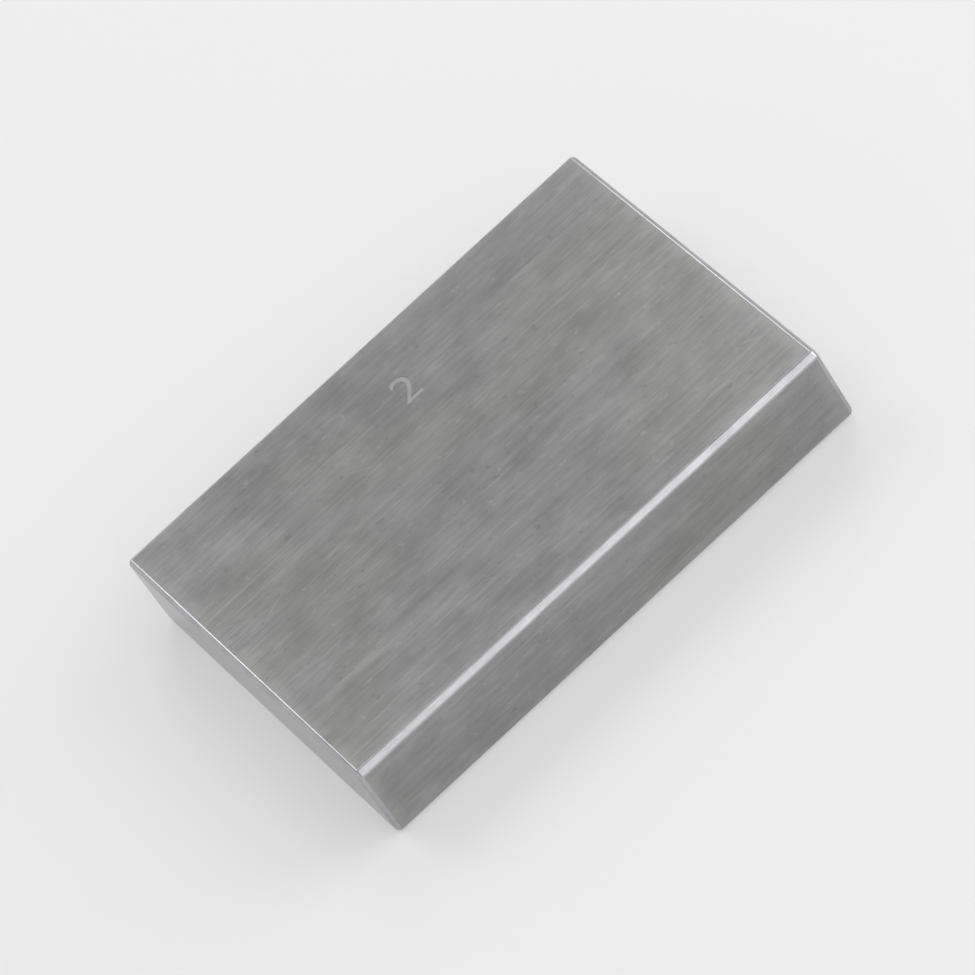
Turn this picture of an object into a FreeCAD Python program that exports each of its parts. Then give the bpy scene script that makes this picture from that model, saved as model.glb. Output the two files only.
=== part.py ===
import FreeCAD, Part
import Sketcher
import os

# A rectangular gauge block of 2 inch nominal size, lying on one of its two broad side faces.
# X runs along the gauged length, from one lapped gauging face to the other.
# Y runs along the long side of the bar's section, and Z along its short side.
# The origin is at the middle of the underside.

driving_dimensions = {
    "gauge_length": 50.8,      # 2 inches, between the gauging faces
    "section_length": 35.0,    # long side of a gauging face
    "section_height": 9.0,     # short side of a gauging face
    "side_break": 0.5,         # chamfer along the four edges between side faces
    "gauging_break": 0.3,      # smaller chamfer round each gauging face
}
sheet_name = "dimensions"
coordinate_tolerance = 1e-6


def fill_sheet(document):
    sheet = document.addObject("Spreadsheet::Sheet", sheet_name)
    for row, (alias, value) in enumerate(driving_dimensions.items(), start=1):
        sheet.set(f"A{row}", alias)
        sheet.set(f"B{row}", str(value))
        sheet.setAlias(f"B{row}", alias)
    document.recompute()
    return sheet


def origin_plane(body, role):
    return next(plane for plane in body.Origin.OriginFeatures if plane.Role == role)


def draw_bar_section(body, sheet):
    # the ground bar's section, centred across the block and standing on the underside
    sketch = body.newObject("Sketcher::SketchObject", "bar_section")
    sketch.AttachmentSupport = [(origin_plane(body, "YZ_Plane"), "")]
    sketch.MapMode = "FlatFace"
    half_length = sheet.section_length / 2
    height = sheet.section_height
    corners = [(-half_length, 0), (half_length, 0), (half_length, height), (-half_length, height)]
    for start, end in zip(corners, corners[1:] + corners[:1]):
        side = Part.LineSegment(FreeCAD.Vector(*start, 0), FreeCAD.Vector(*end, 0))
        sketch.addGeometry(side, False)
    underside, right, top, left = range(4)
    for side in (underside, right, top, left):
        sketch.addConstraint(Sketcher.Constraint("Coincident", side, 2, (side + 1) % 4, 1))
    for side in (underside, top):
        sketch.addConstraint(Sketcher.Constraint("Horizontal", side))
    for side in (right, left):
        sketch.addConstraint(Sketcher.Constraint("Vertical", side))
    sketch.addConstraint(Sketcher.Constraint("Symmetric", underside, 1, underside, 2, -1, 1))
    bind_length(sketch, "DistanceX", underside, "section_length", sheet)
    bind_length(sketch, "DistanceY", right, "section_height", sheet)
    return sketch


def bind_length(sketch, direction, side, alias, sheet):
    length = Sketcher.Constraint(direction, side, 1, side, 2, getattr(sheet, alias))
    sketch.renameConstraint(sketch.addConstraint(length), alias)
    sketch.setExpression(f"Constraints.{alias}", f"{sheet_name}.{alias}")


def pad_blank(body, section):
    # the bar cut to length, half to each side of the middle
    blank = body.newObject("PartDesign::Pad", "blank")
    blank.Profile = section
    blank.Midplane = True
    blank.setExpression("Length", f"{sheet_name}.gauge_length")
    return blank


def edges_along_x(shape):
    names = []
    for number, edge in enumerate(shape.Edges, start=1):
        if edge.BoundBox.XLength > shape.BoundBox.XLength / 2:
            names.append(f"Edge{number}")
    return names


def edges_round_gauging_faces(shape):
    end = shape.BoundBox.XMax
    names = []
    for number, edge in enumerate(shape.Edges, start=1):
        box = edge.BoundBox
        in_one_plane = box.XLength < coordinate_tolerance
        if in_one_plane and abs(abs(box.XMax) - end) < coordinate_tolerance:
            names.append(f"Edge{number}")
    return names


def break_edges(body, name, base, edge_names, alias):
    chamfer = body.newObject("PartDesign::Chamfer", name)
    chamfer.Base = (base, edge_names)
    chamfer.setExpression("Size", f"{sheet_name}.{alias}")
    body.Document.recompute()
    return chamfer


def build_gauge_block(document, sheet):
    body = document.addObject("PartDesign::Body", "gauge_block")
    body.Label = "gauge_block"
    blank = pad_blank(body, draw_bar_section(body, sheet))
    document.recompute()
    long_edges = edges_along_x(blank.Shape)
    side_chamfers = break_edges(body, "side_chamfers", blank, long_edges, "side_break")
    face_edges = edges_round_gauging_faces(side_chamfers.Shape)
    break_edges(body, "gauging_chamfers", side_chamfers, face_edges, "gauging_break")
    return body


def check_document(document, pieces):
    for item in document.Objects:
        if "Invalid" in item.State or "Error" in item.State:
            raise RuntimeError(f"{item.Label} did not build: {item.State}")
    for piece in pieces:
        if piece.Shape.isNull() or not piece.Shape.isValid():
            raise RuntimeError(f"{piece.Label} has no valid shape")


def export_pieces(pieces):
    os.makedirs("parts", exist_ok=True)
    for piece in pieces:
        piece.Shape.exportStep(os.path.join("parts", f"{piece.Label}.step"))


document = FreeCAD.newDocument("gauge_block_part")
sheet = fill_sheet(document)
pieces = [build_gauge_block(document, sheet)]
document.recompute()
check_document(document, pieces)
export_pieces(pieces)
for piece in pieces:
    print(piece.Label, "faces", len(piece.Shape.Faces), "volume", round(piece.Shape.Volume, 2), piece.Shape.BoundBox)
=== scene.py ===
import math
import bmesh
import bpy
from mathutils import Matrix, Vector


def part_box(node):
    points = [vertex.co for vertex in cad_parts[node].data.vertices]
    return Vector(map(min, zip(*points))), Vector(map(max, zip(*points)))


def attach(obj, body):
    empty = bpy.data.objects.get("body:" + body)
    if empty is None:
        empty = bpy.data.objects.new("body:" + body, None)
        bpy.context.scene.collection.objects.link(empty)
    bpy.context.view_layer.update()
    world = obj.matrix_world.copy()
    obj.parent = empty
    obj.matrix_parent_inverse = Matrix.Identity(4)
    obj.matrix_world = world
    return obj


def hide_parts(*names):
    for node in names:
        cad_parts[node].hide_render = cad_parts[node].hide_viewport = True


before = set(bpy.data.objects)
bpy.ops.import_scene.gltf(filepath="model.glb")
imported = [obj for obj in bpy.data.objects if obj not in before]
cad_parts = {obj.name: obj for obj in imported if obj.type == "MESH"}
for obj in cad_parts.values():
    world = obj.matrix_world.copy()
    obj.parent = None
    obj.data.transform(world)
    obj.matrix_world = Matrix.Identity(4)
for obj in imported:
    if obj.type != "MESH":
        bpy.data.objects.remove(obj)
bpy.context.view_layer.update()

blockLow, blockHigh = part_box("gauge_block")
blockSize = blockHigh - blockLow
blockMiddle = (blockLow + blockHigh) / 2
mm = 0.001


# helpers for objects and material nodes

def addObject(name, mesh):
    obj = bpy.data.objects.new(name, mesh)
    bpy.context.scene.collection.objects.link(obj)
    return obj


def meshFromBmesh(bm, name):
    mesh = bpy.data.meshes.new(name)
    bm.to_mesh(mesh)
    bm.free()
    return mesh


def newMaterial(name):
    material = bpy.data.materials.new(name)
    material.use_nodes = True
    material.node_tree.nodes.clear()
    output = addNode(material, "ShaderNodeOutputMaterial")
    shader = addNode(material, "ShaderNodeBsdfPrincipled")
    material.node_tree.links.new(shader.outputs["BSDF"], output.inputs["Surface"])
    return material, shader


def addNode(material, kind, inputs=None, **settings):
    # an input is either another node's output or a plain value
    node = material.node_tree.nodes.new(kind)
    for setting, value in settings.items():
        setattr(node, setting, value)
    for socket, value in (inputs or {}).items():
        if isinstance(value, bpy.types.NodeSocket):
            material.node_tree.links.new(value, node.inputs[socket])
        else:
            node.inputs[socket].default_value = value
    return node


def calculate(material, operation, first, second):
    return addNode(material, "ShaderNodeMath", {0: first, 1: second}, operation=operation).outputs[0]


def calculateVector(material, operation, *values):
    inputs = dict(enumerate(values))
    return addNode(material, "ShaderNodeVectorMath", inputs, operation=operation).outputs[0]


def addUp(material, *parts):
    # parts are (value, weight) pairs
    total = calculate(material, "MULTIPLY", *parts[0])
    for value, weight in parts[1:]:
        total = calculate(material, "ADD", total, calculate(material, "MULTIPLY", value, weight))
    return total


def remap(material, value, oldRange, newRange=(0.0, 1.0)):
    inputs = {
        "Value": value,
        "From Min": oldRange[0],
        "From Max": oldRange[1],
        "To Min": newRange[0],
        "To Max": newRange[1],
    }
    return addNode(material, "ShaderNodeMapRange", inputs).outputs["Result"]


def asColour(value):
    # a plain colour gets its alpha here, and another node's output stays as it is
    if isinstance(value, bpy.types.NodeSocket):
        return value
    return (*value, 1)


def blendColours(material, factor, first, second, blend="MIX"):
    inputs = {0: factor, 6: asColour(first), 7: asColour(second)}
    return addNode(material, "ShaderNodeMix", inputs, data_type="RGBA", blend_type=blend).outputs[2]


def streaks(material, perMetre, shift=(0, 0, 0), detail=2.0, turn=(0, 0, 0)):
    # noise drawn out along the axis that has the fewest changes per metre; turn is in degrees
    turn = [math.radians(angle) for angle in turn]
    place = addNode(material, "ShaderNodeTexCoord").outputs["Object"]
    turned = addNode(material, "ShaderNodeMapping", {"Vector": place, "Rotation": turn}).outputs[0]
    drawnOut = calculateVector(material, "MULTIPLY_ADD", turned, perMetre, shift)
    inputs = {"Vector": drawnOut, "Scale": 1.0, "Detail": detail, "Roughness": 0.55}
    return addNode(material, "ShaderNodeTexNoise", inputs, noise_dimensions="3D").outputs[0]


def connect(material, shader, **sockets):
    for socket, value in sockets.items():
        material.node_tree.links.new(value, shader.inputs[socket.replace("_", " ")])


def bumpFrom(material, height, distance):
    inputs = {"Height": height, "Strength": 1.0, "Distance": distance}
    return addNode(material, "ShaderNodeBump", inputs).outputs["Normal"]


# finishes

steelEdgeTint = (0.77, 0.77, 0.77, 1)       # steel brightens less than a plain metal at a glancing angle
scratchRange = (0.735, 0.765)               # noise above these is a scratch, and between them its soft edge


def newSteel(name):
    material, shader = newMaterial(name)
    shader.inputs["Metallic"].default_value = 1.0
    shader.inputs["Specular Tint"].default_value = steelEdgeTint
    return material, shader


def edgeDistance(material):
    # metres to the nearest of the block's edges: the middle one of the distances to its faces
    place = addNode(material, "ShaderNodeTexCoord").outputs["Object"]
    centred = calculateVector(material, "SUBTRACT", place, blockMiddle)
    outward = calculateVector(material, "ABSOLUTE", centred)
    inward = calculateVector(material, "SUBTRACT", blockSize / 2, outward)
    x, y, z = addNode(material, "ShaderNodeSeparateXYZ", {0: inward}).outputs
    lesser = calculate(material, "MINIMUM", x, y)
    greater = calculate(material, "MAXIMUM", x, y)
    return calculate(material, "MAXIMUM", lesser, calculate(material, "MINIMUM", greater, z))


def paintedEdgeHighlight(material, finish, patch):
    # painted highlight: lighter towards the edges of a face, unevenly
    reach = (0.0, finish["edgeReach"])
    fade = remap(material, edgeDistance(material), reach, (finish["paintedHighlightLift"], 0.0))
    return calculate(material, "MULTIPLY", fade, patch)


def rareScratches(material, perMetre, places):
    # 1 along a few short hairlines, 0 elsewhere; places are (turn, shift) pairs
    found = 0.0
    for turn, shift in places:
        lines = streaks(material, perMetre, shift=shift, detail=1.0, turn=turn)
        found = calculate(material, "MAXIMUM", found, remap(material, lines, scratchRange))
    return found


groundFinish = {
    "dark": (0.262, 0.262, 0.260),
    "light": (0.376, 0.376, 0.374),
    "grain": {                          # each: changes per metre along X, Y and Z, then shift and detail
        "hair": ((30, 6400, 6400), (0, 0, 0), 1.0),
        "band": ((55, 1500, 1500), (3, 7, 11), 2.0),
        "broken": ((520, 2200, 2200), (14, 3, 6), 1.5),
        "patch": ((240, 300, 300), (9, 1, 4), 5.0),
        "drift": ((42, 60, 60), (21, 8, 2), 2.0),
        "smear": ((210, 1500, 1500), (6, 13, 5), 2.0),
        "spot": ((1050, 1250, 1250), (1, 9, 7), 3.0),
    },
    "shares": {"hair": 0.23, "band": 0.19, "broken": 0.19, "patch": 0.39},
    "toneRange": (0.34, 0.66),          # sum of the shares that gives the dark and the light colour
    "smears": 0.45,                     # short lighter streaks
    "smearRange": (0.58, 0.74),
    "spots": 0.62,                      # specks from handling, light and dark
    "lightSpotRange": (0.64, 0.77),
    "darkSpotRange": (0.36, 0.23),
    "paintedHighlightLift": 1.10,                   # painted highlight: how much lighter the face is right at its edges
    "edgeReach": 1.7 * mm,              # how far in from the edges that fades out
    "warm": (1.000, 0.998, 0.984),      # tints that drift over the face
    "cool": (0.994, 0.996, 1.008),
    "driftRange": (0.38, 0.62),
    "scratch": (0.44, 0.44, 0.44),
    "scratchShare": 0.35,
    "scratchPerMetre": (260, 5200, 5200),
    "scratches": (((0, 0, 34), (2, 5, 0)), ((0, 0, -22), (8, 1, 6))),
    "roughness": (0.29, 0.33),
    "anisotropic": 0.45,
    "acrossGrain": 0.25,                # a quarter turn, so that highlights spread across the grain
    "bumpHeight": 0.0006 * mm,
}


def makeGroundSteel(finish):
    # side faces, surface ground along the block, so the grain runs along X
    material, shader = newSteel("groundSteel")
    grain = {name: streaks(material, *settings) for name, settings in finish["grain"].items()}
    shares = [(grain[name], share) for name, share in finish["shares"].items()]
    tone = remap(material, addUp(material, *shares), finish["toneRange"])
    marks = addUp(material,
                  (remap(material, grain["smear"], finish["smearRange"]), finish["smears"]),
                  (remap(material, grain["spot"], finish["lightSpotRange"]), finish["spots"]),
                  (remap(material, grain["spot"], finish["darkSpotRange"]), -finish["spots"]))
    tone = calculate(material, "ADD", tone, marks)
    # painted highlight along the face's edges
    tone = calculate(material, "ADD", tone, paintedEdgeHighlight(material, finish, grain["patch"]))
    colour = blendColours(material, tone, finish["dark"], finish["light"])
    drift = remap(material, grain["drift"], finish["driftRange"])
    tint = blendColours(material, drift, finish["warm"], finish["cool"])
    colour = blendColours(material, 1.0, colour, tint, blend="MULTIPLY")
    scratches = rareScratches(material, finish["scratchPerMetre"], finish["scratches"])
    share = calculate(material, "MULTIPLY", scratches, finish["scratchShare"])
    along = addNode(material, "ShaderNodeTangent", direction_type="UV_MAP", uv_map="grain").outputs[0]
    connect(material, shader,
            Base_Color=blendColours(material, share, colour, finish["scratch"]),
            Roughness=remap(material, grain["patch"], (0.3, 0.7), finish["roughness"]),
            Normal=bumpFrom(material, grain["hair"], finish["bumpHeight"]),
            Tangent=along)
    shader.inputs["Anisotropic"].default_value = finish["anisotropic"]
    shader.inputs["Anisotropic Rotation"].default_value = finish["acrossGrain"]
    return material


lappedFinish = {
    "dark": (0.360, 0.360, 0.361),
    "light": (0.420, 0.420, 0.418),
    "toneRange": (0.34, 0.66),
    "marksPerMetre": (9000, 9000, 300),
    "haze": (170, 170, 170),            # changes per metre
    # painted highlight along the face's edges, as on the ground faces
    "paintedHighlightLift": 0.9,
    "edgeReach": 1.2 * mm,
    "scratch": (0.53, 0.53, 0.53),
    "scratchShare": 0.55,
    "scratchPerMetre": (5200, 170, 5200),
    "scratches": (((9, 0, 0), (3, 8, 2)), ((-14, 0, 0), (6, 1, 5)), ((63, 0, 0), (2, 9, 4))),
    "roughness": (0.05, 0.12),
    "scratchRoughness": 0.12,           # what a scratch adds to the roughness
    "bumpHeight": 0.0005 * mm,
}


def makeLappedSteel(finish):
    # gauging faces: lapped almost to a mirror, with hair-fine crossing marks and a few
    # longer lines from sliding one block on another
    material, shader = newSteel("lappedSteel")
    one = streaks(material, finish["marksPerMetre"], turn=(32, 0, 0))
    other = streaks(material, finish["marksPerMetre"], shift=(4, 2, 9), turn=(-51, 0, 0))
    haze = streaks(material, finish["haze"], detail=5.0)
    marks = addUp(material, (one, 0.5), (other, 0.5))
    tone = remap(material, addUp(material, (marks, 0.5), (haze, 0.5)), finish["toneRange"])
    # painted highlight along the face's edges
    tone = calculate(material, "ADD", tone, paintedEdgeHighlight(material, finish, haze))
    colour = blendColours(material, tone, finish["dark"], finish["light"])
    scratches = rareScratches(material, finish["scratchPerMetre"], finish["scratches"])
    share = calculate(material, "MULTIPLY", scratches, finish["scratchShare"])
    smooth = remap(material, haze, (0.35, 0.65), finish["roughness"])
    roughened = calculate(material, "MULTIPLY", scratches, finish["scratchRoughness"])
    connect(material, shader,
            Base_Color=blendColours(material, share, colour, finish["scratch"]),
            Roughness=calculate(material, "ADD", smooth, roughened),
            Normal=bumpFrom(material, marks, finish["bumpHeight"]))
    return material


chamferLookWithPaintedHighlight = {
    # paler and bluer than the ground faces: painted highlight and painted bluish reflection on the chamfers
    "dark": (0.388, 0.388, 0.403),
    "light": (0.528, 0.528, 0.550),
    "toneRange": (0.35, 0.65),
    "linesPerMetre": (500, 7000, 0),    # along and across the edge
    "wear": (420, 420, 420),            # changes per metre
    "roughness": (0.265, 0.300),
    "bumpHeight": 0.0005 * mm,
}


def makeBrokenEdgeSteel(finish):
    # chamfers, with lines that follow each edge; their colour, paler and bluer than the faces beside them,
    # is a painted highlight and a painted bluish reflection
    material, shader = newSteel("brokenEdgeSteel")
    grain = addNode(material, "ShaderNodeUVMap", uv_map="grain").outputs[0]
    drawnOut = calculateVector(material, "MULTIPLY", grain, finish["linesPerMetre"])
    inputs = {"Vector": drawnOut, "Scale": 1.0, "Detail": 3.0}
    lines = addNode(material, "ShaderNodeTexNoise", inputs).outputs[0]
    wear = streaks(material, finish["wear"], shift=(5, 5, 1), detail=4.0)
    tone = remap(material, addUp(material, (lines, 0.45), (wear, 0.55)), finish["toneRange"])
    # the chamfer colour carries a painted highlight and a painted bluish reflection
    connect(material, shader,
            Base_Color=blendColours(material, tone, finish["dark"], finish["light"]),
            Roughness=remap(material, wear, (0.3, 0.7), finish["roughness"]),
            Normal=bumpFrom(material, lines, finish["bumpHeight"]))
    return material


markFinish = {
    "dark": (0.294, 0.294, 0.292),
    "light": (0.388, 0.388, 0.386),
    "grains": (9000, 9000, 9000),       # changes per metre
    "roughness": (0.34, 0.44),
    "bumpHeight": 0.003 * mm,
}


def makeEtchedSteel(finish):
    # inside the size number: lightly frosted, hardly paler than the ground face
    material, shader = newSteel("etchedSteel")
    grains = streaks(material, finish["grains"])
    connect(material, shader,
            Base_Color=blendColours(material, grains, finish["dark"], finish["light"]),
            Roughness=remap(material, grains, (0.3, 0.7), finish["roughness"]),
            Normal=bumpFrom(material, grains, finish["bumpHeight"]))
    return material


# the block

blockShape = {
    "sideBreak": 0.5 * mm,         # chamfer on the long edges between side faces
    "gaugingBreak": 0.3 * mm,      # chamfer round both gauging faces
    "softening": 0.11 * mm,        # rounding left by the stone where a chamfer meets a face
    "softeningSteps": 4,
}
sizeNumber = {
    "text": "2",
    "height": 3.1 * mm,
    "depth": 0.03 * mm,
    "acrossBlock": 0.52,           # share of the length from the left gauging face
    "fromBackEdge": 7.2 * mm,      # to the number's middle
}
groundSlot, lappedSlot, edgeSlot, etchedSlot = range(4)
samePlace = 0.01 * mm
flatFrom = 0.9999                  # a normal's share along an axis from which its face is one of the six
gaugingChamferFrom = 0.3           # and its share along X from which its face is on a gauging end


def bevelEdges(bm, edges, offset, segments):
    bmesh.ops.bevel(bm, geom=edges, offset=offset, offset_type="OFFSET", affect="EDGES",
                    segments=segments, profile=0.5, material=-1)


def lengthAlongX(edge):
    return abs(edge.verts[0].co.x - edge.verts[1].co.x)


def makeBlockMesh(shape):
    bm = bmesh.new()
    bmesh.ops.create_cube(bm, size=1.0)
    bmesh.ops.scale(bm, vec=blockSize, verts=bm.verts)
    bmesh.ops.translate(bm, vec=blockMiddle, verts=bm.verts)
    longEdges = [edge for edge in bm.edges if lengthAlongX(edge) > blockSize.x / 2]
    bevelEdges(bm, longEdges, shape["sideBreak"], 1)
    endEdges = [edge for edge in bm.edges if lengthAlongX(edge) < samePlace]
    bevelEdges(bm, endEdges, shape["gaugingBreak"], 1)
    bevelEdges(bm, bm.edges[:], shape["softening"], shape["softeningSteps"])
    for face in bm.faces:
        flatness = max(abs(part) for part in face.normal)
        face.smooth = flatness < flatFrom
        if abs(face.normal.x) > flatFrom:
            face.material_index = lappedSlot
        elif flatness > flatFrom:
            face.material_index = groundSlot
        else:
            face.material_index = edgeSlot
    return meshFromBmesh(bm, "gaugeBlock")


def makeNumberCutter(number):
    curve = bpy.data.curves.new("sizeNumber", "FONT")
    curve.body = number["text"]
    curve.extrude = 0.5
    textObject = addObject("sizeNumberText", curve)
    mesh = bpy.data.meshes.new_from_object(textObject)
    bpy.data.objects.remove(textObject)
    bm = bmesh.new()
    bm.from_mesh(mesh)
    bmesh.ops.remove_doubles(bm, verts=bm.verts, dist=1e-5)
    bmesh.ops.recalc_face_normals(bm, faces=bm.faces)
    low = Vector([min(v.co[axis] for v in bm.verts) for axis in range(3)])
    high = Vector([max(v.co[axis] for v in bm.verts) for axis in range(3)])
    scale = number["height"] / (high.y - low.y)
    depthScale = 2 * number["depth"] / (high.z - low.z)      # half of the cutter stays above the face
    acrossBlock = blockLow.x + number["acrossBlock"] * blockSize.x
    place = Vector((acrossBlock, blockHigh.y - number["fromBackEdge"], blockHigh.z))
    bmesh.ops.translate(bm, vec=-(low + high) / 2, verts=bm.verts)
    bmesh.ops.scale(bm, vec=(scale, scale, depthScale), verts=bm.verts)
    bmesh.ops.translate(bm, vec=place, verts=bm.verts)
    for face in bm.faces:
        face.material_index = etchedSlot
    return addObject("numberCutter", meshFromBmesh(bm, "numberCutter"))


def cutNumber(block, cutter):
    cut = block.modifiers.new("number", "BOOLEAN")
    cut.operation = "DIFFERENCE"
    cut.solver = "EXACT"
    cut.material_mode = "INDEX"
    cut.object = cutter
    graph = bpy.context.evaluated_depsgraph_get()
    mesh = bpy.data.meshes.new_from_object(block.evaluated_get(graph))
    block.modifiers.clear()
    block.data = mesh
    bpy.data.objects.remove(cutter)


def unwrapAlongGrain(block):
    # U runs along the grain: along X on the sides and the long chamfers, and along
    # the edge on the chamfers round the gauging faces
    bm = bmesh.new()
    bm.from_mesh(block.data)
    grain = bm.loops.layers.uv.new("grain")
    for face in bm.faces:
        xPart, yPart, zPart = [abs(part) for part in face.normal]
        if xPart < gaugingChamferFrom:
            lengthwise = Vector((1, 0, 0))
        elif yPart < zPart or xPart > flatFrom:
            lengthwise = Vector((0, 1, 0))
        else:
            lengthwise = Vector((0, 0, 1))
        crosswise = face.normal.cross(lengthwise).normalized()
        for loop in face.loops:
            loop[grain].uv = (loop.vert.co.dot(lengthwise), loop.vert.co.dot(crosswise))
    bm.to_mesh(block.data)
    bm.free()


finishes = (
    makeGroundSteel(groundFinish),
    makeLappedSteel(lappedFinish),
    makeBrokenEdgeSteel(chamferLookWithPaintedHighlight),
    makeEtchedSteel(markFinish),
)
block = addObject("gaugeBlock", makeBlockMesh(blockShape))
for finish in finishes:
    block.data.materials.append(finish)
cutNumber(block, makeNumberCutter(sizeNumber))
unwrapAlongGrain(block)
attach(block, "root")
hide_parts("gauge_block")
print("block made:", len(block.data.polygons), "faces")


# camera, floor and light

cameraView = {
    "azimuth": -10.5,
    "elevation": 47.5,
    "distance": 0.6256,
    "roll": 34.85,       # the picture is turned anticlockwise by this much
    "lens": 280.5,
    "clipStart": 0.01,
}


def makeCamera(settings):
    azimuth = math.radians(settings["azimuth"])
    elevation = math.radians(settings["elevation"])
    level = math.cos(elevation)
    back = Vector((math.sin(azimuth) * level, -math.cos(azimuth) * level, math.sin(elevation)))
    camera = addObject("camera", bpy.data.cameras.new("camera"))
    aim = (-back).to_track_quat("-Z", "Y").to_matrix().to_4x4()
    roll = Matrix.Rotation(-math.radians(settings["roll"]), 4, "Z")
    camera.matrix_world = Matrix.Translation(blockMiddle + back * settings["distance"]) @ aim @ roll
    camera.data.lens = settings["lens"]
    camera.data.clip_start = settings["clipStart"]
    bpy.context.scene.camera = camera


floorLook = {
    "radius": 6.0,
    "corners": 96,
    "under": 0.01 * mm,      # gap below the block, so that the two never share a plane
    "colour": (0.80, 0.80, 0.80),
    "roughness": 0.9,
    "whiteShare": 0.28,      # how far the seen floor is lifted towards plain white
}


def seenDirectly(material):
    # 1 for camera, glossy and transmission rays, 0 for the rays that light other things
    path = addNode(material, "ShaderNodeLightPath")
    seen = path.outputs["Is Camera Ray"]
    for ray in ("Is Glossy Ray", "Is Transmission Ray"):
        seen = calculate(material, "MAXIMUM", seen, path.outputs[ray])
    return seen


def makeFloor(look):
    bm = bmesh.new()
    bmesh.ops.create_circle(bm, cap_ends=True, segments=look["corners"], radius=look["radius"])
    bmesh.ops.translate(bm, vec=(0, 0, blockLow.z - look["under"]), verts=bm.verts)
    floor = addObject("floor", meshFromBmesh(bm, "floor"))
    material, shader = newMaterial("floorWhite")
    shader.inputs["Base Color"].default_value = asColour(look["colour"])
    shader.inputs["Roughness"].default_value = look["roughness"]
    shader.inputs["Specular IOR Level"].default_value = 0.0
    white = addNode(material, "ShaderNodeEmission", {"Color": (1, 1, 1, 1), "Strength": 1.0})
    share = calculate(material, "MULTIPLY", seenDirectly(material), look["whiteShare"])
    inputs = {0: share, 1: shader.outputs["BSDF"], 2: white.outputs[0]}
    lifted = addNode(material, "ShaderNodeMixShader", inputs).outputs[0]
    output = material.node_tree.nodes["Material Output"]
    material.node_tree.links.new(lifted, output.inputs["Surface"])
    floor.data.materials.append(material)


skyLook = {
    "horizon": 0.92,
    "overhead": 0.46,
    "heights": (0.0, 0.75),      # heights on a sphere of radius 1 between which the one fades to the other
}


def makeSky(look):
    # a pale studio: light walls below a dimmer ceiling
    world = bpy.data.worlds.new("sky")
    bpy.context.scene.world = world
    world.use_nodes = True
    background = world.node_tree.nodes["Background"]
    direction = addNode(world, "ShaderNodeTexCoord").outputs["Generated"]
    height = addNode(world, "ShaderNodeSeparateXYZ", {0: direction}).outputs["Z"]
    strength = remap(world, height, look["heights"], (look["horizon"], look["overhead"]))
    world.node_tree.links.new(strength, background.inputs["Strength"])
    background.inputs["Color"].default_value = (1, 1, 1, 1)


softboxes = {
    "overhead": {"towards": (0.00, 0.00, 1.00), "distance": 1.00, "size": (0.50, 0.50), "brightness": 0.45},
    "front": {"towards": (0.19, -0.69, 0.66), "distance": 1.00, "size": (0.80, 0.80), "brightness": 1.03},
    "right": {"towards": (0.86, -0.30, 0.42), "distance": 0.70, "size": (0.50, 0.50), "brightness": 2.2},
    "backLeft": {"towards": (-0.17, 0.53, 0.59), "distance": 0.80, "size": (0.30, 0.40), "brightness": 2.4},
    "backRight": {"towards": (0.345, 0.50, 0.56), "distance": 0.80, "size": (0.26, 0.40), "brightness": 2.4},
}


def makeSoftbox(name, settings):
    # brightness is what the block sees, so a larger box doesn't look brighter to it
    lamp = bpy.data.lights.new(name, "AREA")
    lamp.shape = "RECTANGLE"
    lamp.size, lamp.size_y = settings["size"]
    lamp.energy = settings["brightness"] * math.pi * lamp.size * lamp.size_y
    towards = Vector(settings["towards"]).normalized()
    obj = addObject(name, lamp)
    obj.location = blockMiddle + towards * settings["distance"]
    obj.rotation_euler = (-towards).to_track_quat("-Z", "Y").to_euler()


makeCamera(cameraView)
makeFloor(floorLook)
makeSky(skyLook)
for name, settings in softboxes.items():
    makeSoftbox(name, settings)
bpy.context.scene.view_settings.view_transform = "Standard"
print("camera, floor and light made")
